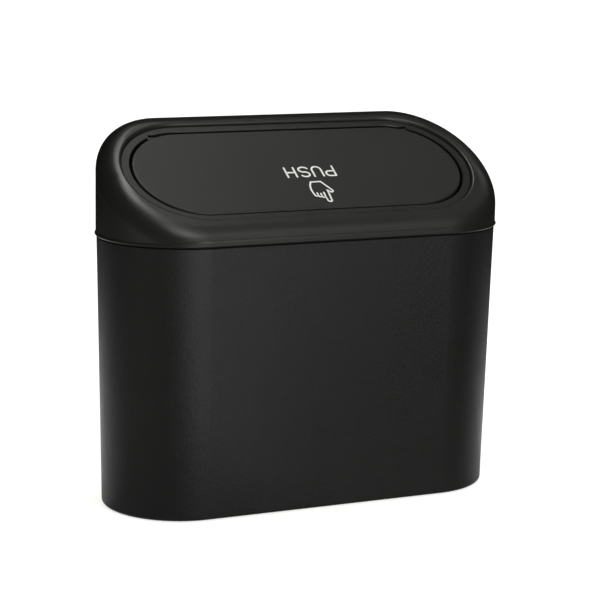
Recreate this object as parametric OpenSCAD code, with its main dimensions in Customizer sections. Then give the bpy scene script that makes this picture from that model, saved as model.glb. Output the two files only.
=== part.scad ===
// Car trash bin with a sloping top cover and a push-to-open lid.
// Origin at the centre of the flat base, +Z up, X along the long side, -Y towards the low front edge.
// All sizes in mm.

/* [Bin] */
// Length of the bin at its rim
rim_l = 200; // [190:1:215]
// Depth of the bin at its rim
rim_w = 78; // [76:1:84]
// Height of the seam between bin and cover
bin_h = 128; // [120:1:140]
// Draft of the wall on each side, over the height of the bin
draft = 2.4; // [1.5:0.1:3]
// Thickness of the bin wall
wall = 2.2; // [2:0.1:2.4]
// Thickness of the floor
floor_t = 2.6; // [2:0.1:4]
// Rounding of the bottom edge
base_round = 1.8; // [1:0.1:2.4]
// Chamfer on the outside of the rim
rim_chamfer = 0.5; // [0.3:0.1:0.8]
// Gap between the rim and the cover
seam_gap = 0.4; // [0.3:0.1:0.6]

/* [Top cover] */
// Overhang of the cover past the rim
overhang = 0.4; // [0.2:0.05:0.5]
// Slope of the top face, degrees
slope = 31.5; // [29:0.5:33]
// Height of the front edge above the seam, before rounding
front_h = 5.4; // [5:0.1:7]
// Rounding of the shoulder
shoulder = 8; // [7:0.5:9]
// Thickness of the cover
cover_t = 2.4; // [2.2:0.1:2.6]
// How far the bead along the lower edge stands out
bead = 0.5; // [0.3:0.05:0.6]
// Height of the bead
bead_h = 1.8; // [1.8:0.1:2.4]
// Rounding of the edge round the lid frame
recess_round = 1.5; // [1.2:0.1:1.8]
// Depth of the skirt that goes down inside the rim
spigot_h = 6; // [4:0.5:7]
// Thickness of that skirt
spigot_t = 1.8; // [1.5:0.1:2.2]
// Radial gap between skirt and rim
spigot_gap = 0.4; // [0.3:0.05:0.5]

/* [Lid] */
// Distance from the edge of the lid to the outside of the cover, along the slope
border = 16.75; // [16:0.25:17.5]
// Thickness of the lid plate
lid_t = 2.4; // [2.2:0.1:2.8]
// Gap all round the lid
lid_gap = 1; // [0.9:0.1:1.2]
// Rounding of the upper edge of the lid
lid_round = 1; // [0.6:0.1:1]
// Depth of the lid below the crest of the cover
lid_sink = 1.5; // [1.3:0.1:1.8]
// Visible width of the frame round the lid
ledge_w = 4; // [3.5:0.1:4.5]

/* [Hinge] */
// Radius of the steel hinge pins
pin_r = 0.75; // [0.6:0.05:0.75]
// Length of a hinge pin
pin_l = 16; // [14:1:18]
// Distance of the hinge axis from the rear edge of the lid
hinge_in = 2; // [1.8:0.1:2.4]
// Depth of the hinge axis below the lid surface
hinge_deep = 1.3; // [1.2:0.05:1.4]
// Running gap between pin and lid
pin_run = 0.05; // [0.03:0.01:0.08]
// Radius of the spring wire
wire_r = 0.4; // [0.3:0.05:0.45]
// Mean radius of the lid springs
coil_r = 2.2; // [2:0.1:2.3]

/* [Latch] */
// Distance of the latch from the front edge of the lid
latch_in = 7; // [6:0.5:9]
// Width of the slider
slider_w = 11; // [10:0.5:12]
// Depth of the slider
slider_d = 6; // [5:0.5:7]
// Gap between slider and housing
slider_gap = 0.3; // [0.3:0.05:0.5]
// Travel of the slider when the lid is pushed
press = 1.8; // [1.2:0.1:2]

/* [Hanger clip] */
// Width of the clip
clip_w = 36; // [30:1:50]
// Thickness of the clip
clip_t = 1.6; // [1.4:0.1:1.8]
// Free space between the bin and the outer leg
clip_gap = 12; // [8:0.5:16]
// Length of the outer leg
clip_leg = 44; // [30:1:60]

/* [Part] */
// Part to draw

/* [Hidden] */
$fn = 96;

// Plan of bin and cover: half circles of rim_r about two centres end_c from the middle.
rim_r = rim_w / 2;
end_c = (rim_l - rim_w) / 2;
rim_z = bin_h - seam_gap;
base_r = rim_r - draft;
mouth_r = rim_r - wall;
cover_r = rim_r + overhang;
k = tan(slope);
// Height of the middle of the sloping plane.
top_z = bin_h + front_h + k * cover_r;
shelf_t = 1.5;
spigot_r = mouth_r - spigot_gap;
cover_edge = 0.5;

// Plan of the lid in the sloping plane, to the hundredth so that straights and half turns meet.
lid_r = round(100 * (cover_r / cos(slope) - border)) / 100;
lid_c = round(100 * (end_c + cover_r - border - lid_r)) / 100;
open_r = lid_r + lid_gap;
recess_r = open_r + ledge_w;
lid_top = -lid_sink;
lid_low = lid_top - lid_t;
fit = 0.1;
lip_t = 3.4;
lip_r = recess_r + 3;
flange_t = 1.8;
flange_r = recess_r + 3.8;
flange_cut = 1.3;
flange_low = -lip_t - flange_t;
skirt_t = 1.4;
skirt_low = -9;
rib_low = lid_low - 2.6;
rib_r = lid_r - 2.4;
rib_t = 1.4;
rib_at = [-1.1, -0.4, 0.4, 1.1] * lid_c;
hinge_u = lid_r - hinge_in;
hinge_w = lid_top - hinge_deep;
hinge_clear = hinge_deep + 0.5;
// Where the lid's outline and the frame's opening cross the hinge axis.
lid_end = lid_c + sqrt(lid_r * lid_r - hinge_u * hinge_u);
pin_x = lid_end - 7.6;
pin_fit = 0.02;
boss_end = 0.4;
boss_l = lid_end - pin_x - 3 * boss_end;
boss_w = 4 * pin_r;

screw_r = 0.8;
screw_play = 0.02;
screw_clear = 0.25;
head_r = 2;
head_h = 1.2;
screw_rad = recess_r + 1.5;
screw_step = lid_c * 2 / 3;

// The lid springs turn on pegs behind the opening.
spring_x = 24;
spring_u = open_r + 3.2;
spring_w = -9.6;
spring_turns = 4;
spring_pitch = 0.9;
spring_l = spring_turns * spring_pitch;
cheek_t = 1.4;
cheek_gap = 1.6;
tip_gap = 0.65;
peg_r = 1.4;

latch_u = lid_r - latch_in;
shelf_top = -10.5;
latch_top = shelf_top - 2;
latch_len = 21;
latch_wall = 1.6;
slider_top = latch_top - 1.5;
slider_len = 10;
track_w = 3;
track_d = 1.4;
claw_t = 1.5;
claw_l = 5.4;
claw_gap = 0.35;
head_w = 5.2;
stem_w = 3.2;
strike_d = 4;
strike_tip = slider_top + 2.4;
tab_x = 11.5;
tab_t = 2;
slot_w = 12.8;
slot_d = 8.8;
shelf_w = 30;
web_x = 14.2;
strike_plate = 1.4;
strike_x = 7.5;
strike_l = 20;
strike_w = 6;
buffer_x = 11;
buffer_r = 2;
buffer_h = 1.9;

notch_gap = 0.3;
clip_top = rim_z - 0.3;
clip_in = mouth_r - 0.8;
ring_in = spigot_r - spigot_t - 2.4;
ring_top = bin_h - spigot_h - 0.5;
ring_h = 5.5;
rest_x = 0.74 * end_c;
rest_t = 3;
rest_d = 3.2;
rest_h = 4;
rest_in = mouth_r - 0.6 - rest_d / 2;
pad_w = 24;
pad_h = 22;
pad_t = 1.2;
clip_in_leg = 19;
clip_tip = 4;
clip_play = 0.4;

// Half turns at both ends and two straights of one profile, drawn as radius and height.
module sweep(c) {
  for (s = [-1, 1]) {
    translate([s * c, 0, 0]) rotate([0, 0, -s * 90]) rotate_extrude(angle = 180) children();
    mirror([0, (1 - s) / 2, 0]) translate([-c, 0, 0]) rotate([90, 0, 90]) linear_extrude(2 * c) children();
  }
}

// Places the sloping plane: x along the lid, y up the slope, z out of it.
module sloped() {
  translate([0, 0, top_z]) rotate([slope, 0, 0]) children();
}

// Shears a level form so that its top follows the slope and its walls stay upright.
module slanted(z) {
  multmatrix([[1, 0, 0, 0], [0, 1, 0, 0], [0, k, 1, z], [0, 0, 0, 1]]) children();
}

module bin_profile(r, z, round_r, r_top, z_top) {
  a = atan((r_top - r) / (z_top - z));
  cx = r + round_r * tan(a) - round_r / cos(a);
  union() {
    polygon([[0, z], [cx, z], [cx, z + round_r],
      [cx + round_r * cos(a), z + round_r - round_r * sin(a)], [r_top, z_top], [0, z_top]]);
    translate([cx, z + round_r]) circle(round_r);
  }
}

module clip_notch() {
  translate([-clip_w / 2 - notch_gap, rim_r - wall - 2, clip_top - clip_t - 0.1])
    cube([clip_w + 2 * notch_gap, wall + 4, clip_t + 5]);
}

module bin_body() {
  color("#2a2a2a") difference() {
    union() {
      difference() {
        intersection() {
          sweep(end_c) bin_profile(base_r, 0, base_round, rim_r, rim_z);
          sweep(end_c) polygon([[0, -1], [rim_r + 1, -1], [rim_r + 1, rim_z - rim_chamfer - 1],
            [rim_r - rim_chamfer, rim_z], [0, rim_z]]);
        }
        sweep(end_c) bin_profile(base_r - wall + draft * floor_t / rim_z, floor_t, base_round + 1.2,
          mouth_r + draft / rim_z, rim_z + 1);
      }
      // Rests for the bag ring.
      translate([0, 0, ring_top - ring_h - rest_h]) {
        for (x = [-1, 1], s = [0, 1]) mirror([0, s, 0])
          translate([x * rest_x - rest_t / 2, rest_in, 0]) cube([rest_t, rest_d, rest_h]);
        for (s = [0, 1]) mirror([s, 0, 0])
          translate([end_c + rest_in, -rest_t / 2, 0]) cube([rest_d, rest_t, rest_h]);
      }
    }
    clip_notch();
  }
}

module bag_ring() {
  color("#3c3c3c") difference() {
    sweep(end_c) polygon([[ring_in, ring_top - ring_h], [spigot_r - 0.2, ring_top - ring_h],
      [spigot_r - 0.2, ring_top], [ring_in + 1, ring_top], [ring_in, ring_top - 1]]);
    translate([-clip_w / 2 - 1, clip_in - clip_t - clip_play, ring_top - ring_h - 1])
      cube([clip_w + 2, 10, ring_h + 2]);
  }
}

module bend(r_in, t) {
  side = 2 * (r_in + t);
  difference() {
    circle(r_in + t);
    circle(r_in);
    translate([-side / 2, -side]) square(side);
    translate([-side, -side / 2]) square(side);
  }
}

module clip_profile() {
  out_y = rim_r + clip_gap;
  z0 = clip_top - clip_t;
  bend_r = 2.4;
  in_y = clip_in - clip_t;
  translate([in_y, z0 - 1 - clip_in_leg]) square([clip_t, clip_in_leg]);
  translate([in_y + clip_t + 1, z0 - 1]) mirror([1, 0]) bend(1, clip_t);
  translate([in_y + clip_t + 1, z0]) square([out_y - bend_r - in_y - clip_t - 1, clip_t]);
  translate([out_y - bend_r, z0 - bend_r]) bend(bend_r, clip_t);
  translate([out_y, z0 - clip_leg]) square([clip_t, clip_leg - bend_r]);
  // Tip turned outwards, so the clip slides over an edge.
  translate([out_y + clip_t + clip_tip, z0 - clip_leg]) rotate(180) bend(clip_tip, clip_t);
}

module hanger_clip() {
  color("#242424") translate([-clip_w / 2, 0, 0]) rotate([90, 0, 90]) linear_extrude(clip_w) clip_profile();
}

module clip_pad() {
  color("#151515") translate([-pad_w / 2, rim_r + clip_gap - pad_t, clip_top - clip_leg + clip_tip])
    cube([pad_w, pad_t, pad_h]);
}

module cover_profile(r, round_r, depth) {
  union() {
    polygon([[0, -depth], [r, -depth], [r, -round_r], [r - round_r, -round_r], [r - round_r, 0], [0, 0]]);
    translate([r - round_r, -round_r]) circle(round_r);
  }
}

module cover_form() {
  intersection() {
    slanted(top_z) sweep(end_c) cover_profile(cover_r, shoulder, top_z);
    translate([-rim_l, -rim_w, bin_h + cover_edge]) cube([2 * rim_l, 2 * rim_w, top_z]);
  }
  // Bead along the lower edge, which runs out into the wall at 2 to 1.
  sweep(end_c) polygon([[0, bin_h], [cover_r + bead - cover_edge, bin_h],
    [cover_r + bead, bin_h + cover_edge], [cover_r + bead, bin_h + bead_h - 2 * bead],
    [cover_r - bead, bin_h + bead_h + 2 * bead], [0, bin_h + bead_h + 2 * bead]]);
}

module cover_cavity() {
  intersection() {
    slanted(top_z - cover_t / cos(slope)) sweep(end_c)
      cover_profile(cover_r - cover_t, shoulder - cover_t, top_z);
    translate([-rim_l, -rim_w, bin_h + shelf_t]) cube([2 * rim_l, 2 * rim_w, top_z]);
  }
}

module screw_spots() {
  for (s = [-1, 1], x = [-screw_step, 0, screw_step]) translate([x, s * screw_rad, 0]) children();
  for (s = [-1, 1]) translate([s * (lid_c + screw_rad), 0, 0]) children();
}

module top_cover() {
  color("#333333") difference() {
    union() {
      difference() {
        cover_form();
        cover_cavity();
      }
      sweep(end_c) translate([spigot_r - spigot_t, bin_h - spigot_h]) square([spigot_t, spigot_h + 0.5]);
      sloped() sweep(lid_c) translate([recess_r - 1, -lip_t]) square([lip_r - recess_r + 1, 2]);
    }
    sweep(end_c) translate([0, bin_h - spigot_h - 1])
      square([spigot_r - spigot_t, spigot_h + shelf_t + 1.1]);
    sloped() sweep(lid_c) difference() {
      translate([0, -8]) square([recess_r + recess_round, 14]);
      translate([recess_r, -9]) square([recess_round + 1, 9 - recess_round - 0.05]);
      translate([recess_r + recess_round, -recess_round - 0.05]) circle(recess_round);
    }
    sloped() screw_spots() translate([0, 0, -lip_t - 1]) cylinder(r = screw_r, h = 3.4);
    // Room for the hanger clip.
    translate([-clip_w / 2 - 1, clip_in - clip_t - clip_play, bin_h - spigot_h - 1])
      cube([clip_w + 2, spigot_t + 1.2, spigot_h + 1]);
  }
}

module frame_profile() {
  polygon([[open_r, skirt_low], [open_r, lid_top - 0.3], [open_r + 0.3, lid_top],
    [recess_r - fit - 0.2, lid_top], [recess_r - fit, lid_top - 0.2], [recess_r - fit, -lip_t],
    [flange_r - flange_cut, -lip_t], [flange_r, -lip_t - flange_cut], [flange_r, flange_low],
    [open_r + skirt_t, flange_low], [open_r + skirt_t, skirt_low]]);
}

// Two cheeks behind the opening with a peg between them.
module spring_bracket() {
  inside = spring_l + 2 * cheek_gap - 1;
  near = spring_x - cheek_gap;
  for (x = [near - cheek_t, near + inside]) translate([x, 0, 0]) rotate([90, 0, 90]) linear_extrude(cheek_t)
    polygon([[open_r + 0.2, flange_low + 0.5], [spring_u + 2, flange_low + 0.5],
      [spring_u + 2, spring_w - 1],
      [spring_u + 1, spring_w - 2], [spring_u - 1, spring_w - 2], [open_r + 0.2, skirt_low + 0.5]]);
  translate([near - 0.5, spring_u, spring_w]) rotate([0, 90, 0]) cylinder(r = peg_r, h = inside + 1);
}

module lid_frame() {
  front = -open_r - skirt_t - 0.2;
  deep = open_r + skirt_t + 0.2 - latch_u + 8;
  color("#353535") sloped() difference() {
    union() {
      sweep(lid_c) frame_profile();
      // Shelf and webs that carry the latch under the front edge.
      translate([-shelf_w / 2, front, latch_top]) cube([shelf_w, deep, shelf_top - latch_top]);
      translate([-shelf_w / 2, front, latch_top]) cube([shelf_w, latch_wall, skirt_low - latch_top + 3]);
      for (s = [-1, 1]) translate([s * web_x - latch_wall / 2, front, latch_top])
        cube([latch_wall, deep, 3.6]);
      for (s = [0, 1]) mirror([s, 0, 0]) spring_bracket();
    }
    translate([-slot_w / 2, -latch_u - slot_d / 2, latch_top - 1]) cube([slot_w, slot_d, 4]);
    for (s = [-1, 1]) translate([s * tab_x, -latch_u, latch_top - 0.1]) cylinder(r = screw_r, h = 1.9);
    screw_spots() translate([0, 0, flange_low - 1]) cylinder(r = screw_r + screw_clear, h = flange_t + 2);
    for (s = [0, 1]) mirror([s, 0, 0]) {
      translate([lid_end - 1, hinge_u, hinge_w]) rotate([0, 90, 0])
        cylinder(r = pin_r + pin_fit, h = pin_l + 1);
      // Room for the corner of the lid as it turns.
      translate([lid_end - 3, hinge_u, hinge_w]) rotate([0, 90, 0]) cylinder(r = hinge_clear, h = 6.3);
      // Window in the skirt for the coil of the lid spring.
      translate([spring_x - 0.8, open_r - 1, skirt_low - 1])
        cube([spring_l + 1.6, skirt_t + 1.2, spring_w + coil_r + wire_r + 0.4 - skirt_low + 1]);
    }
  }
}

module screw(l) {
  difference() {
    union() {
      translate([0, 0, -head_h]) cylinder(r = head_r, h = head_h);
      translate([0, 0, -0.2]) cylinder(r = screw_r - screw_play, h = l + 0.2);
      translate([0, 0, l]) cylinder(r1 = screw_r - screw_play, r2 = 0.3, h = 0.5);
    }
    for (a = [0, 90]) rotate([0, 0, a]) translate([-1.2, -0.25, -head_h - 0.1]) cube([2.4, 0.5, 0.7]);
  }
}

module frame_screws() {
  color("#8d9096") sloped() screw_spots() translate([0, 0, flange_low]) screw(flange_t + 1.7);
}

module hinge_pin(s) {
  color("#b9bcc2") sloped() translate([s > 0 ? pin_x : -pin_x - pin_l, hinge_u, hinge_w]) rotate([0, 90, 0])
    cylinder(r = pin_r, h = pin_l);
}

// A wire along points p, with its section set out by the unit vectors n and b at each point.
module wire(p, n, b, r, sides) {
  m = len(p);
  pts = [for (i = [0:m - 1], j = [0:sides - 1])
    p[i] + r * (cos(360 * j / sides) * n[i] + sin(360 * j / sides) * b[i])];
  polyhedron(points = pts, faces = concat(
    [[for (j = [0:sides - 1]) j]],
    [[for (j = [sides - 1:-1:0]) (m - 1) * sides + j]],
    [for (i = [0:m - 2], j = [0:sides - 1])
      [i * sides + j, (i + 1) * sides + j, i * sides + (j + 1) % sides]],
    [for (i = [0:m - 2], j = [0:sides - 1])
      [i * sides + (j + 1) % sides, (i + 1) * sides + j, (i + 1) * sides + (j + 1) % sides]]));
}

// Torsion spring: a short leg up to the frame, the coil round the peg, a long leg under the lid.
module lid_spring(s) {
  x0 = spring_x;
  lift = 22.7;
  turn = 360 * spring_turns + 90 + lift;
  steps = 92;
  leg = (lid_low - tip_gap - wire_r - spring_w + coil_r * cos(lift)) / sin(lift);
  a = [for (i = [0:steps]) -turn * i / steps];
  coil = [for (i = [0:steps]) [x0 + spring_pitch * turn / 360 * i / steps,
    spring_u + coil_r * cos(a[i]), spring_w + coil_r * sin(a[i])]];
  rad = [for (i = [0:steps]) [0, cos(a[i]), sin(a[i])]];
  e = coil[steps];
  p = concat([[x0, spring_u + coil_r, flange_low - wire_r - 0.15]], coil,
    [[e[0], e[1] - leg * cos(lift), e[2] + leg * sin(lift)]]);
  n = concat([[0, 1, 0]], rad, [rad[steps]]);
  b = [for (i = [0:len(p) - 1]) [1, 0, 0]];
  color("#a9adb3") sloped() mirror([(1 - s) / 2, 0, 0]) wire(p, n, b, wire_r, 8);
}

module latch_housing() {
  w = slider_w + 2 * slider_gap + 2 * latch_wall;
  d = slider_d + 2 * slider_gap + 2 * latch_wall;
  color("#1f1f1f") sloped() translate([0, -latch_u, 0]) difference() {
    union() {
      translate([-w / 2, -d / 2, latch_top - latch_len]) cube([w, d, latch_len]);
      for (s = [-1, 1]) translate([s * (tab_x - 1.5) - 4.5, -3, latch_top - tab_t]) cube([9, 6, tab_t]);
    }
    translate([-w / 2 + latch_wall, -d / 2 + latch_wall, latch_top - latch_len + latch_wall])
      cube([w - 2 * latch_wall, d - 2 * latch_wall, latch_len]);
    for (s = [-1, 1]) translate([s * tab_x, 0, latch_top - 3]) cylinder(r = screw_r + screw_clear, h = 4);
    // Side window that shows the slider.
    translate([-2, -d / 2 - 1, latch_top - 12]) cube([4, latch_wall + 2, 8]);
  }
}

module latch_slider() {
  color("#5a5c5e") sloped() translate([0, -latch_u, 0]) difference() {
    union() {
      translate([-slider_w / 2, -slider_d / 2, slider_top - slider_len])
        cube([slider_w, slider_d, slider_len]);
      for (s = [-1, 1]) translate([s * (head_w / 2 + claw_gap + claw_t / 2), 0, slider_top - 0.5])
        rotate([90, 0, 0]) linear_extrude(slider_d - 1, center = true)
          polygon([[-claw_t / 2, 0], [claw_t / 2, 0], [claw_t / 2, claw_l - 0.8], [s * -0.2, claw_l],
            [-claw_t / 2, claw_l - 0.8]]);
    }
    // Track of the follower.
    translate([-track_w / 2, slider_d / 2 - track_d, slider_top - slider_len - 1])
      cube([track_w, track_d + 1, slider_len - 0.5]);
    translate([0, 0, slider_top - slider_len - 1]) cylinder(r = 2.4, h = 3);
  }
}

module latch_spring() {
  z0 = latch_top - latch_len + latch_wall;
  z1 = slider_top - slider_len - press - 0.3;
  turns = 5;
  steps = 90;
  r = 2;
  h = z1 - z0 - 2 * wire_r - 0.1;
  n = [for (i = [0:steps]) let (a = 360 * turns * i / steps) [cos(a), sin(a), 0]];
  p = [for (i = [0:steps]) r * n[i] + [0, 0, z0 + wire_r + 0.05 + h * i / steps]];
  b = [for (i = [0:steps]) [0, 0, -1]];
  color("#a9adb3") sloped() translate([0, -latch_u, 0]) wire(p, n, b, wire_r, 8);
}

module latch_follower() {
  y0 = slider_d / 2 + slider_gap - wire_r - 0.02;
  z0 = latch_top - latch_len + latch_wall;
  color("#b9bcc2") sloped() translate([0, -latch_u + y0, 0]) union() {
    translate([0, 0, z0 + wire_r]) cylinder(r = wire_r, h = slider_top - slider_len + 5 - z0);
    translate([0, 0, z0 + wire_r]) sphere(r = wire_r);
    translate([0, 0, z0 + slider_top - slider_len + 5 - z0 + wire_r]) sphere(r = wire_r);
  }
}

module latch_screws() {
  color("#8d9096") sloped() for (s = [-1, 1]) translate([s * tab_x, -latch_u, latch_top - tab_t])
    screw(tab_t + 1.2);
}

module lid_buffers() {
  color("#101010") sloped() for (s = [-1, 1])
    translate([s * buffer_x, -open_r + buffer_r + 1, shelf_top]) cylinder(r = buffer_r, h = buffer_h);
}

module lid_plate_profile() {
  union() {
    polygon([[0, lid_low], [lid_r - 0.4, lid_low], [lid_r, lid_low + 0.4], [lid_r, lid_top - lid_round],
      [lid_r - lid_round, lid_top - lid_round], [lid_r - lid_round, lid_top], [0, lid_top]]);
    translate([lid_r - lid_round, lid_top - lid_round]) circle(lid_round);
  }
}

module lid_panel() {
  color("#363635") sloped() difference() {
    union() {
      sweep(lid_c) lid_plate_profile();
      sweep(lid_c) translate([rib_r - rib_t, rib_low]) square([rib_t, lid_low - rib_low + 0.5]);
      for (x = rib_at) translate([x - 0.6, -rib_r + 0.5, lid_low - 1.6]) cube([1.2, 2 * rib_r - 1, 2]);
      // Bosses round the pins, as long as the plate reaches there.
      for (s = [0, 1]) mirror([s, 0, 0])
        translate([pin_x - boss_end, hinge_u - boss_w * 2 / 3, lid_low - 0.6]) cube([boss_l, boss_w, 1]);
    }
    for (s = [-1, 1]) translate([s * (pin_x + pin_l / 2 - 0.2), hinge_u, hinge_w]) rotate([0, 90, 0])
      cylinder(r = pin_r + pin_run, h = pin_l, center = true);
    for (s = [-1, 1]) translate([s * strike_x, -latch_u, lid_low - 0.5]) cylinder(r = screw_r, h = 2.1);
  }
}

module lid_striker() {
  color("#1f1f1f") sloped() translate([0, -latch_u, 0]) difference() {
    union() {
      translate([-strike_l / 2, -strike_w / 2, lid_low - strike_plate])
        cube([strike_l, strike_w, strike_plate]);
      translate([-stem_w / 2, -strike_d / 2, strike_tip + 1])
        cube([stem_w, strike_d, lid_low - strike_tip - 2]);
      rotate([90, 0, 0]) linear_extrude(strike_d, center = true)
        polygon([[-head_w / 2 + 1, strike_tip], [head_w / 2 - 1, strike_tip], [head_w / 2, strike_tip + 1],
          [head_w / 2, strike_tip + 2], [-head_w / 2, strike_tip + 2], [-head_w / 2, strike_tip + 1]]);
    }
    for (s = [-1, 1]) translate([s * strike_x, 0, lid_low - 1.5 * strike_plate])
      cylinder(r = screw_r + screw_clear, h = 2 * strike_plate);
  }
}

module striker_screws() {
  color("#8d9096") sloped() for (s = [-1, 1]) translate([s * strike_x, -latch_u, lid_low - strike_plate])
    screw(strike_plate + 1);
}

bin_body();
bag_ring();
hanger_clip();
clip_pad();
top_cover();
lid_frame();
frame_screws();
hinge_pin(-1);  // hinge_pin_left
hinge_pin(1);  // hinge_pin_right
lid_spring(-1);  // lid_spring_left
lid_spring(1);  // lid_spring_right
latch_housing();
latch_slider();
latch_spring();
latch_follower();
latch_screws();
lid_buffers();
lid_panel();
lid_striker();
striker_screws();
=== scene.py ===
"""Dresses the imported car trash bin: materials, the print on the lid, the studio and the camera."""

import math

import bmesh
import bpy
from mathutils import Matrix, Vector


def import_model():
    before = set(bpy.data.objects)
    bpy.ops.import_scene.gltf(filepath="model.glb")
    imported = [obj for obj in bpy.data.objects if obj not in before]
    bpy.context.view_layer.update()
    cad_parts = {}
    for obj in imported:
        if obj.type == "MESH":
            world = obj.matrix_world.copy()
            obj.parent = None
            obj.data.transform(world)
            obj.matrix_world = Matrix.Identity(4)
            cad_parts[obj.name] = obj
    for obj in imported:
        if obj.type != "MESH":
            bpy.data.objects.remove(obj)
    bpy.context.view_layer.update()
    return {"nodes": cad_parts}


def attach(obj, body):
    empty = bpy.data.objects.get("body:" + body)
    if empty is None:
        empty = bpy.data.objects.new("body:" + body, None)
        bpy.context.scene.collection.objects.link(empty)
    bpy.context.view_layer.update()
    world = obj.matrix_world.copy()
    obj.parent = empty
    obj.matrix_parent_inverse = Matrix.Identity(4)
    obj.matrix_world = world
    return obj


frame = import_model()
NODES = frame["nodes"]

# Sizes of the part, in metres where they carry MM and in millimetres otherwise. The cover's face slopes by
# SLOPE and is TOP_Z high over the middle. The lid's face lies LID_TOP from it.
MM = 0.001
SLOPE = math.radians(31.5)
TOP_Z = 157.5444 * MM
LID_TOP = -1.5 * MM

# The cover's plan is a stadium: the radius of its ends and their centres' distance from the middle.
COVER_R = 39.4
COVER_C = 61.0

# The shoulder's radius as it is modelled, and the even radius that it is shaded with, at the front and at
# the rear. REAR_FACING is how far the plan's edge faces the rear where REAR_R is reached, as a sine.
# STEEPEST is the nearest distance to the wall at which a slope is still worked out.
SHOULDER_R = 8.0
EVEN_R = 14.0
REAR_R = 6.0
REAR_FACING = 0.9
STEEPEST = 0.2

# The camera, fitted to the outline, the seam and the lid's edge in the photograph. Its focal length and its
# centre are in the photograph's pixels.
IMAGE_W = 598
IMAGE_H = 607
SENSOR_W = 36.0
CAM_AZ = math.radians(-25.28)
CAM_EL = math.radians(11.88)
CAM_ROLL = math.radians(1.138)
CAM_DIST = 1.032
CAM_F = 2148.0
CAM_CENTRE = (306.9, 331.5)
CAM_AIM = (4.201 * MM, 77.56 * MM)

# Tints of the greys.
NEUTRAL = (1.0, 1.0, 1.0)
WARM = (1.0, 0.985, 0.965)


class Shader:
    """A material's node tree, with short calls for the nodes that this scene uses."""

    def __init__(self, name):
        self.mat = bpy.data.materials.new(name)
        self.mat.use_nodes = True
        self.tree = self.mat.node_tree
        self.tree.nodes.clear()
        self.out = self.node("ShaderNodeOutputMaterial")
        self.bsdf = self.node("ShaderNodeBsdfPrincipled")
        self.link(self.bsdf.outputs[0], self.out.inputs["Surface"])
        self.coords = self.node("ShaderNodeTexCoord").outputs["Object"]

    def node(self, kind, **values):
        n = self.tree.nodes.new(kind)
        for key, value in values.items():
            setattr(n, key, value)
        return n

    def link(self, a, b):
        self.tree.links.new(a, b)

    def noise(self, scale, detail=2.0, rough=0.5, stretch=None):
        """Noise with scale grains per metre, stretched along each axis."""
        n = self.node("ShaderNodeTexNoise")
        n.inputs["Scale"].default_value = scale
        n.inputs["Detail"].default_value = detail
        n.inputs["Roughness"].default_value = rough
        source = self.coords
        if stretch:
            m = self.node("ShaderNodeMapping")
            m.inputs["Scale"].default_value = stretch
            self.link(source, m.inputs["Vector"])
            source = m.outputs[0]
        self.link(source, n.inputs["Vector"])
        return n.outputs["Fac"]

    def ramp(self, fac, low, high, start=0.3, end=0.7):
        """A colour that goes from low to high as fac goes from start to end."""
        r = self.node("ShaderNodeValToRGB")
        r.color_ramp.elements[0].position = start
        r.color_ramp.elements[0].color = (*low, 1.0)
        r.color_ramp.elements[1].position = end
        r.color_ramp.elements[1].color = (*high, 1.0)
        self.link(fac, r.inputs[0])
        return r.outputs[0]

    def spread(self, fac, low, high, start=0.3, end=0.7):
        """A number that goes from low to high as fac goes from start to end."""
        m = self.node("ShaderNodeMapRange")
        m.inputs["From Min"].default_value = start
        m.inputs["From Max"].default_value = end
        m.inputs["To Min"].default_value = low
        m.inputs["To Max"].default_value = high
        self.link(fac, m.inputs["Value"])
        return m.outputs[0]

    def bump(self, height, strength, distance, normal=None):
        """A normal bent by a height, on top of another normal if one is given."""
        b = self.node("ShaderNodeBump")
        b.inputs["Strength"].default_value = strength
        b.inputs["Distance"].default_value = distance
        self.link(height, b.inputs["Height"])
        if normal:
            self.link(normal, b.inputs["Normal"])
        return b.outputs[0]

    def calc(self, kind, a, b=0.0):
        """One math node; a and b are sockets or numbers."""
        m = self.node("ShaderNodeMath", operation=kind)
        for value, socket in zip((a, b), m.inputs):
            if isinstance(value, (int, float)):
                socket.default_value = value
            else:
                self.link(value, socket)
        return m.outputs[0]


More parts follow.
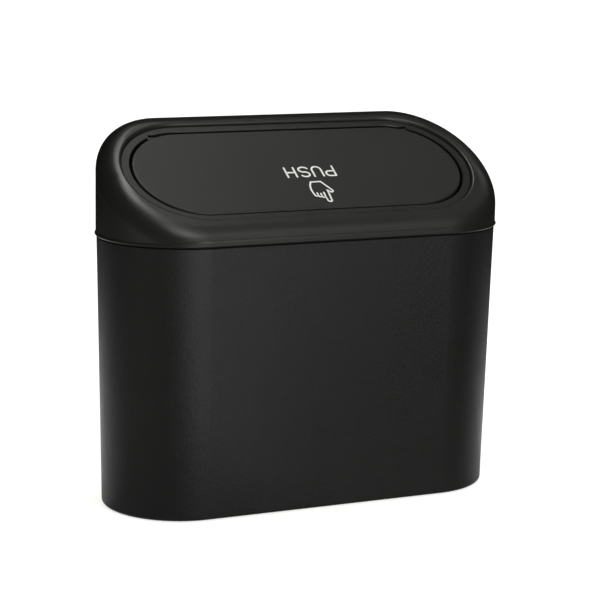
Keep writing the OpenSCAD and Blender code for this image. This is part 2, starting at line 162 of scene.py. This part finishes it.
def shoulder_height(s):
    """Height, in metres, that shades the cover's sheared shoulder as one of even radius.

    The even shoulder is a circle that touches the wall and the slope in each upright section. Its radius is
    smaller along the rear crest. Both forms are taken as depths below the slope, in millimetres.
    """
    parts = s.node("ShaderNodeSeparateXYZ")
    s.link(s.coords, parts.inputs[0])
    x, y = (s.calc("DIVIDE", parts.outputs[i], MM) for i in (0, 1))
    past = s.calc("MAXIMUM", s.calc("SUBTRACT", s.calc("ABSOLUTE", x), COVER_C), 0.0)
    reach = s.calc("SQRT", s.calc("ADD", s.calc("MULTIPLY", past, past), s.calc("MULTIPLY", y, y)))
    inward = s.calc("SUBTRACT", COVER_R, reach)
    facing = s.calc("DIVIDE", y, reach)
    m = s.calc("MULTIPLY", facing, math.tan(SLOPE))
    slant = s.calc("SQRT", s.calc("ADD", s.calc("MULTIPLY", m, m), 1.0))
    rho = s.spread(facing, EVEN_R, REAR_R, 0.0, REAR_FACING)
    meet = s.calc("MULTIPLY", rho, s.calc("ADD", s.calc("DIVIDE", m, slant), 1.0))
    inside = s.calc("MAXIMUM", inward, STEEPEST)
    t1 = s.calc("SUBTRACT", rho, s.calc("MINIMUM", inside, meet))
    even = s.calc("SUBTRACT", s.calc("MULTIPLY", rho, rho), s.calc("MULTIPLY", t1, t1))
    even = s.calc("SUBTRACT", s.calc("SQRT", even), s.calc("MULTIPLY", rho, slant))
    even = s.calc("SUBTRACT", even, s.calc("MULTIPLY", m, t1))
    t2 = s.calc("SUBTRACT", SHOULDER_R, s.calc("MINIMUM", inside, SHOULDER_R))
    sheared = s.calc("SUBTRACT", SHOULDER_R * SHOULDER_R, s.calc("MULTIPLY", t2, t2))
    sheared = s.calc("SUBTRACT", s.calc("SQRT", sheared), SHOULDER_R)
    facing_up = s.node("ShaderNodeSeparateXYZ")
    s.link(s.node("ShaderNodeNewGeometry").outputs["Normal"], facing_up.inputs[0])
    rise = s.calc("MULTIPLY", s.calc("SUBTRACT", even, sheared), facing_up.outputs[2])
    return s.calc("MULTIPLY", rise, MM)


def grey(value, tint=NEUTRAL):
    """A colour of one level, tinted."""
    return tuple(value * t for t in tint)


def plastic(name, tone, rough, specular, grain=None, tint=NEUTRAL, vary=0.12, flow=0.02, form=None):
    """Moulded plastic. grain is (grains per metre, depth in metres, strength) or None for a smooth one.

    form is a function that gives a height for the shading, or None.
    """
    s = Shader(name)
    cloud = s.ramp(s.noise(18.0, 3.0), grey(tone * (1 - vary), tint), grey(tone * (1 + vary), tint))
    s.link(cloud, s.bsdf.inputs["Base Color"])
    patch = s.noise(55.0, 4.0, 0.6)
    s.link(s.spread(patch, rough - flow, rough + flow), s.bsdf.inputs["Roughness"])
    s.bsdf.inputs["Specular IOR Level"].default_value = specular
    normal = s.bump(form(s), 1.0, 1.0) if form else None
    if grain:
        scale, depth, strength = grain
        normal = s.bump(s.noise(scale, 3.0, 0.65), strength, depth, normal)
        normal = s.bump(s.noise(scale * 0.23, 2.0), strength * 0.2, depth * 2.0, normal)
    else:
        normal = s.bump(s.noise(160.0, 2.0), 0.05, 0.0002, normal)
    s.link(normal, s.bsdf.inputs["Normal"])
    return s.mat


def steel(name, tone, rough, stretch=(1.0, 1.0, 1.0), tint=(1.0, 1.0, 1.02)):
    """Plated or drawn steel with fine marks along one direction."""
    s = Shader(name)
    cloud = s.ramp(s.noise(260.0, 3.0), grey(tone * 0.86, tint), grey(tone * 1.08, tint))
    s.link(cloud, s.bsdf.inputs["Base Color"])
    marks = s.noise(1800.0, 3.0, 0.6, stretch)
    s.link(s.spread(marks, rough - 0.06, rough + 0.08), s.bsdf.inputs["Roughness"])
    s.bsdf.inputs["Metallic"].default_value = 1.0
    s.link(s.bump(marks, 0.12, 0.00004), s.bsdf.inputs["Normal"])
    return s.mat


def rubber(name, tone):
    """Soft, dull rubber."""
    s = Shader(name)
    cloud = s.ramp(s.noise(90.0, 3.0), grey(tone * 0.85), grey(tone * 1.15))
    s.link(cloud, s.bsdf.inputs["Base Color"])
    s.link(s.spread(s.noise(300.0, 3.0), 0.72, 0.82), s.bsdf.inputs["Roughness"])
    s.bsdf.inputs["Specular IOR Level"].default_value = 0.25
    s.link(s.bump(s.noise(2600.0, 3.0, 0.6), 0.35, 0.00012), s.bsdf.inputs["Normal"])
    return s.mat


def ink(name, tone):
    """Pad-printed ink, a little uneven."""
    s = Shader(name)
    cloud = s.ramp(s.noise(900.0, 3.0), grey(tone - 0.06), grey(tone + 0.06))
    s.link(cloud, s.bsdf.inputs["Base Color"])
    s.link(s.spread(s.noise(2400.0, 2.0), 0.46, 0.58), s.bsdf.inputs["Roughness"])
    s.link(s.bump(s.noise(3000.0, 2.0), 0.15, 0.00003), s.bsdf.inputs["Normal"])
    return s.mat


BIN = plastic("bin_grain", 0.0060, 0.40, 0.30, (1600.0, 0.00018, 0.85), WARM)
COVER = plastic("cover_satin", 0.0100, 0.33, 0.34, (2600.0, 0.00006, 0.16), WARM, form=shoulder_height)
LID = plastic("lid_satin", 0.0085, 0.40, 0.31, (2600.0, 0.00008, 0.22), WARM)
FRAME = plastic("frame_satin", 0.0075, 0.36, 0.32, (2600.0, 0.00006, 0.18), WARM)
RING = plastic("ring_plastic", 0.030, 0.45, 0.35)
LATCH = plastic("latch_plastic", 0.012, 0.40, 0.40)
SLIDER = plastic("slider_nylon", 0.26, 0.38, 0.45, None, (1.0, 1.0, 0.97), 0.05)
RUBBER = rubber("soft_rubber", 0.012)
SCREW = steel("plated_screws", 0.50, 0.34)
PIN = steel("blackened_pins", 0.05, 0.32, (1.0, 6.0, 6.0))
WIRE = steel("spring_wire", 0.52, 0.28, (4.0, 4.0, 1.0))
PRINT = ink("pad_print", 0.72)

LOOKS = {
    "bin_body": BIN, "hanger_clip": BIN, "bag_ring": RING, "clip_pad": RUBBER, "lid_buffers": RUBBER,
    "top_cover": COVER, "lid_frame": FRAME, "lid_panel": LID, "lid_striker": LATCH,
    "latch_housing": LATCH, "latch_slider": SLIDER, "latch_spring": WIRE,
    "lid_spring_left": WIRE, "lid_spring_right": WIRE, "latch_follower": PIN,
    "hinge_pin_left": PIN, "hinge_pin_right": PIN,
    "frame_screws": SCREW, "latch_screws": SCREW, "striker_screws": SCREW,
}
for node, material in LOOKS.items():
    mesh = NODES[node].data
    mesh.materials.clear()
    mesh.materials.append(material)


# The print on the lid, in millimetres: its strokes' underside and face above the lid, and how far down the
# slope it lies from where its points are drawn. END_STEPS is the number of steps round a stroke's end, and
# SHARPEST keeps the corner of a sharp bend short.
INK_LOW = 0.004
INK_TOP = 0.045
PRINT_SHIFT = -0.9
END_STEPS = 8
SHARPEST = 0.5


def on_lid(x, u, w):
    """A point of the lid's slope frame, given in millimetres, in the shared frame."""
    u, w = (u + PRINT_SHIFT) * MM, w * MM + LID_TOP
    y = u * math.cos(SLOPE) - w * math.sin(SLOPE)
    z = TOP_Z + u * math.sin(SLOPE) + w * math.cos(SLOPE)
    return Vector((x * MM, y, z))


def arc(cx, cy, rx, ry, start, end, steps):
    """Points on an ellipse's arc, angles in degrees."""
    return [
        (cx + rx * math.cos(math.radians(a)), cy + ry * math.sin(math.radians(a)))
        for a in (start + (end - start) * i / steps for i in range(steps + 1))
    ]


def ribbon(bm, points, width, closed):
    """A flat stroke with round ends along 2D points, standing a hair above the lid."""
    pts = [Vector(p) for p in points]
    n = len(pts)
    rails = []
    for i, p in enumerate(pts):
        before = pts[i - 1] if i or closed else None
        after = pts[(i + 1) % n] if i < n - 1 or closed else None
        d1 = (p - before).normalized() if before is not None else None
        d2 = (after - p).normalized() if after is not None else None
        if d1 is None:
            side, reach = Vector((-d2.y, d2.x)), 1.0
        elif d2 is None:
            side, reach = Vector((-d1.y, d1.x)), 1.0
        else:
            mid = (d1 + d2).normalized()
            side = Vector((-mid.y, mid.x))
            reach = 1.0 / max(SHARPEST, side.dot(Vector((-d1.y, d1.x))))
        rails.append((p + side * reach * width / 2, p - side * reach * width / 2))
    low = [[bm.verts.new(on_lid(q.x, q.y, INK_LOW)) for q in pair] for pair in rails]
    high = [[bm.verts.new(on_lid(q.x, q.y, INK_TOP)) for q in pair] for pair in rails]
    last = n if closed else n - 1
    for i in range(last):
        j = (i + 1) % n
        bm.faces.new((high[i][0], high[i][1], high[j][1], high[j][0]))
        bm.faces.new((low[i][0], low[j][0], low[j][1], low[i][1]))
        bm.faces.new((high[i][0], high[j][0], low[j][0], low[i][0]))
        bm.faces.new((high[i][1], low[i][1], low[j][1], high[j][1]))
    if closed:
        return
    for i, inner in ((0, 1), (n - 1, n - 2)):
        out = (pts[i] - pts[inner]).normalized()
        base = math.degrees(math.atan2(out.y, out.x))
        turns = [math.radians(base + 90 - 180 * q / END_STEPS) for q in range(1, END_STEPS)]
        rim = [pts[i] + Vector((math.cos(a), math.sin(a))) * width / 2 for a in turns]
        first, second = (0, 1) if i else (1, 0)
        top = [bm.verts.new(on_lid(q.x, q.y, INK_TOP)) for q in rim]
        top = [high[i][first]] + top + [high[i][second]]
        bottom = [bm.verts.new(on_lid(q.x, q.y, INK_LOW)) for q in rim]
        bottom = [low[i][first]] + bottom + [low[i][second]]
        bm.faces.new(top)
        bm.faces.new(bottom[::-1])
        for q in range(len(top) - 1):
            bm.faces.new((top[q], bottom[q], bottom[q + 1], top[q + 1]))


def stroke_piece(name, strokes, width):
    """A printed piece that rides on the lid. strokes is a list of (points, closed)."""
    bm = bmesh.new()
    for points, closed in strokes:
        ribbon(bm, points, width, closed)
    bmesh.ops.recalc_face_normals(bm, faces=bm.faces)
    mesh = bpy.data.meshes.new(name)
    bm.to_mesh(mesh)
    bm.free()
    mesh.materials.append(PRINT)
    piece = bpy.data.objects.new(name, mesh)
    bpy.context.scene.collection.objects.link(piece)
    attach(piece, "lid")
    return piece


# The letters' height, the line that they stand on, the strokes' widths and the inset of a bar beside a stem.
CAP = 7.0
WORD_U = 1.6
STROKE = 0.92
HAND_STROKE = STROKE * 0.9
INSET = STROKE / 2

# Each letter is a list of strokes, drawn upright with its foot at the origin.


def letter_p():
    bowl = arc(2.75, CAP - 1.75, 1.85, 1.75, 90, -90, 12)[1:]
    return [[(0, 0), (0, CAP)], [(INSET, CAP), (2.6, CAP)] + bowl + [(INSET, CAP - 3.5)]]


def letter_u():
    return [[(0, CAP), (0, 2.3)] + arc(2.35, 2.3, 2.35, 2.3, 180, 360, 14)[1:] + [(4.7, CAP)]]


def letter_s():
    top = arc(2.6, CAP - 1.75, 2.2, 1.75, 28, 180, 10)
    middle = arc(2.6, CAP - 1.75, 2.2, 1.75, 180, 262, 6)[1:]
    foot = arc(2.6, 1.8, 2.4, 1.8, 82, 0, 6) + arc(2.6, 1.8, 2.4, 1.8, 0, -155, 10)[1:]
    return [top + middle + foot]


def letter_h():
    return [[(0, 0), (0, CAP)], [(4.6, 0), (4.6, CAP)], [(INSET, 3.6), (4.6 - INSET, 3.6)]]


# The word stands on its head as seen from the low front edge. Each letter has the place of its first stem.
WORD = ((letter_p, 16.35), (letter_u, 9.9), (letter_s, 3.4), (letter_h, -4.0))
word = [
    ([(start - x, WORD_U - y) for x, y in points], False)
    for letter, start in WORD
    for points in letter()
]
stroke_piece("push_word", word, STROKE)

# A plain pointing hand: one closed outline, and three short lines between the curled fingers.
thumb = (
    [(6.3, -9.4), (8.0, -12.4), (9.4, -14.9)]
    + arc(9.15, -16.35, 0.95, 0.95, 55, -110, 6)
    + [(7.4, -15.9)]
)
pointer = [(7.3, -19.0), (7.0, -22.6)] + arc(5.95, -23.0, 1.05, 1.05, 5, -180, 8) + [(4.85, -20.4)]
curled = (
    arc(4.0, -20.2, 0.85, 0.75, 0, -180, 5)[1:]
    + arc(2.3, -19.7, 0.85, 0.75, 0, -180, 5)
    + arc(0.6, -19.0, 0.85, 0.8, 0, -180, 5)
)
heel = [(-0.5, -17.2), (-0.6, -14.6), (0.0, -11.8)]
outline = [(1.2, -9.5)] + thumb + pointer + curled + heel
creases = [
    [(3.15, -19.6), (3.15, -18.1)],
    [(1.45, -19.0), (1.45, -17.6)],
    [(4.85, -19.9), (4.95, -17.4)],
]
stroke_piece("hand_sign", [(outline, True)] + [(crease, False) for crease in creases], HAND_STROKE)


# The room as the glossy surfaces see it: soft patches of light, each with its compass angle from +X, its lift
# above the horizon and its half width, all in degrees, and its level. AIR is in the room, FLOOR on the floor
# away from the bin, and NEAR on the floor round its foot. Lengths are in metres.
FLOOR_SIZE = 30.0
FLOOR_Z = -0.0002
LAMP_AIM_Z = 0.1
AMBIENT = 0.85
FLOOR_GLOW = 0.55
BACKDROP = 1.1
AIR_TINT = (1.0, 1.0, 0.94, 1.0)
NEAR_REACH = (0.2, 0.65)
FAR_REACH = (0.06, 0.3)
FOOT_LEVEL = 0.28
AIR = [
    (60, 66, 10, 5.4),
    (90, 74, 10, 8.2),
    (125, 80, 10, 3.6),
    (60, 80, 10, 5.2),
    (300, 78, 12, 2.2),
    (30, 32, 12, 0.7),
    (290, 40, 14, 1.0),
    (280, 60, 14, 7.0),
    (313, 52, 14, 1.2),
    (8, 54, 14, 0.4),
]
FLOOR = [
    (180, 0, 25, 0.20),
    (202, 0, 25, 0.46),
    (247, 0, 25, 0.40),
    (264, 0, 11, 3.70),
    (297, 0, 11, 0.30),
    (338, 0, 25, 0.10),
]
NEAR = [
    (0, 0, 25, 0.48),
    (22, 0, 25, 0.95),
    (112, 0, 25, 1.20),
    (135, 0, 25, 0.64),
    (157, 0, 25, 0.48),
]
LAMPS = {
    "front_strip": ((0.32, -1.5, 0.5), (0.16, 0.9), 9.2),
}


def room(tree, direction, patches):
    """The sum of the patches along a direction, as a socket."""

    def lobe(axis, start, end, level):
        dot = tree.nodes.new("ShaderNodeVectorMath")
        dot.operation = "DOT_PRODUCT"
        tree.links.new(direction, dot.inputs[0])
        dot.inputs[1].default_value = axis
        span = tree.nodes.new("ShaderNodeMapRange")
        span.interpolation_type = "SMOOTHSTEP"
        for key, value in (("From Min", start), ("From Max", end), ("To Min", 0.0), ("To Max", level)):
            span.inputs[key].default_value = value
        tree.links.new(dot.outputs["Value"], span.inputs["Value"])
        return span.outputs[0]

    def way(compass, lift):
        a, e = math.radians(compass), math.radians(lift)
        return math.cos(a) * math.cos(e), math.sin(a) * math.cos(e), math.sin(e)

    parts = [
        lobe(way(compass, lift), math.cos(math.radians(spread)), 1.0, level)
        for compass, lift, spread, level in patches
    ]
    total = parts[0]
    for part in parts[1:]:
        add = tree.nodes.new("ShaderNodeMath")
        tree.links.new(total, add.inputs[0])
        tree.links.new(part, add.inputs[1])
        total = add.outputs[0]
    return total


def pick(tree, fac, a, b):
    """a where fac is 0 and b where it is 1; each is a socket or a number."""
    m = tree.nodes.new("ShaderNodeMix")
    tree.links.new(fac, m.inputs["Factor"])
    for value, index in ((a, 2), (b, 3)):
        if isinstance(value, float):
            m.inputs[index].default_value = value
        else:
            tree.links.new(value, m.inputs[index])
    return m.outputs[0]


def floor():
    """A pale floor: white to the camera, and with the room's pattern in the object's shine."""
    bpy.ops.mesh.primitive_plane_add(size=FLOOR_SIZE, location=(0, 0, FLOOR_Z))
    obj = bpy.context.object
    obj.name = "floor"
    s = Shader("pale_floor")
    s.link(s.ramp(s.noise(3.0, 3.0), grey(0.80), grey(0.83)), s.bsdf.inputs["Base Color"])
    s.bsdf.inputs["Roughness"].default_value = 0.9
    s.bsdf.inputs["Specular IOR Level"].default_value = 0.0
    path = s.node("ShaderNodeLightPath")
    glow = s.node("ShaderNodeEmission")
    s.link(s.spread(path.outputs["Is Camera Ray"], 0.0, FLOOR_GLOW, 0.0, 1.0), glow.inputs["Strength"])
    add = s.node("ShaderNodeAddShader")
    s.link(s.bsdf.outputs[0], add.inputs[0])
    s.link(glow.outputs[0], add.inputs[1])
    outward = s.node("ShaderNodeVectorMath", operation="NORMALIZE")
    s.link(s.coords, outward.inputs[0])
    length = s.node("ShaderNodeVectorMath", operation="LENGTH")
    s.link(s.coords, length.inputs[0])
    near = s.spread(length.outputs["Value"], 1.0, 0.0, *NEAR_REACH)
    near = s.calc("MULTIPLY", room(s.tree, outward.outputs[0], NEAR), near)
    away = s.spread(length.outputs["Value"], 0.0, 1.0, *FAR_REACH)
    far = s.calc("MULTIPLY", room(s.tree, outward.outputs[0], FLOOR), away)
    foot = s.calc("MULTIPLY", s.calc("SUBTRACT", 1.0, away), FOOT_LEVEL)
    mirror = s.node("ShaderNodeEmission")
    s.link(s.calc("ADD", s.calc("ADD", near, far), foot), mirror.inputs["Strength"])
    choice = s.node("ShaderNodeMixShader")
    s.link(path.outputs["Is Glossy Ray"], choice.inputs[0])
    s.link(add.outputs[0], choice.inputs[1])
    s.link(mirror.outputs[0], choice.inputs[2])
    s.link(choice.outputs[0], s.out.inputs["Surface"])
    obj.data.materials.append(s.mat)


def world():
    """White to the camera; to the object, an even room light and the room's own pattern in its shine."""
    w = bpy.data.worlds.new("studio")
    bpy.context.scene.world = w
    w.use_nodes = True
    t = w.node_tree
    t.nodes.clear()
    out = t.nodes.new("ShaderNodeOutputWorld")
    back = t.nodes.new("ShaderNodeBackground")
    t.links.new(back.outputs[0], out.inputs["Surface"])
    coords = t.nodes.new("ShaderNodeTexCoord")
    path = t.nodes.new("ShaderNodeLightPath")
    level = pick(t, path.outputs["Is Glossy Ray"], AMBIENT, room(t, coords.outputs["Generated"], AIR))
    level = pick(t, path.outputs["Is Transmission Ray"], level, BACKDROP)
    level = pick(t, path.outputs["Is Camera Ray"], level, BACKDROP)
    back.inputs["Color"].default_value = AIR_TINT
    t.links.new(level, back.inputs["Strength"])


def lamp(name, place, size, power):
    """A rectangular lamp that faces the object's middle."""
    data = bpy.data.lights.new(name, "AREA")
    data.shape = "RECTANGLE"
    data.size, data.size_y = size
    data.energy = power
    obj = bpy.data.objects.new(name, data)
    obj.location = Vector(place)
    toward = Vector((0, 0, LAMP_AIM_Z)) - obj.location
    obj.rotation_euler = toward.to_track_quat("-Z", "Y").to_euler()
    bpy.context.scene.collection.objects.link(obj)


floor()
world()
for name, (place, size, power) in LAMPS.items():
    lamp(name, place, size, power)


def camera():
    """The camera of the photograph."""
    ca, sa, ce, se = math.cos(CAM_AZ), math.sin(CAM_AZ), math.cos(CAM_EL), math.sin(CAM_EL)
    back = Vector((sa * ce, -ca * ce, se))
    right = Vector((ca, sa, 0.0))
    up = back.cross(right)
    cr, sr = math.cos(CAM_ROLL), math.sin(CAM_ROLL)
    x_axis = cr * right + sr * up
    y_axis = -sr * right + cr * up
    target = right * CAM_AIM[0] + Vector((0, 0, CAM_AIM[1]))
    data = bpy.data.cameras.new("camera")
    data.sensor_fit = "HORIZONTAL"
    data.sensor_width = SENSOR_W
    data.lens = CAM_F * SENSOR_W / IMAGE_W
    data.shift_x = (IMAGE_W / 2 - CAM_CENTRE[0]) / IMAGE_W
    data.shift_y = (CAM_CENTRE[1] - IMAGE_H / 2) / IMAGE_W
    data.clip_start = 0.01
    obj = bpy.data.objects.new("camera", data)
    m = Matrix((x_axis, y_axis, back)).transposed().to_4x4()
    m.translation = target + back * CAM_DIST
    obj.matrix_world = m
    bpy.context.scene.collection.objects.link(obj)
    bpy.context.scene.camera = obj


camera()
bpy.context.scene.view_settings.view_transform = "Standard"
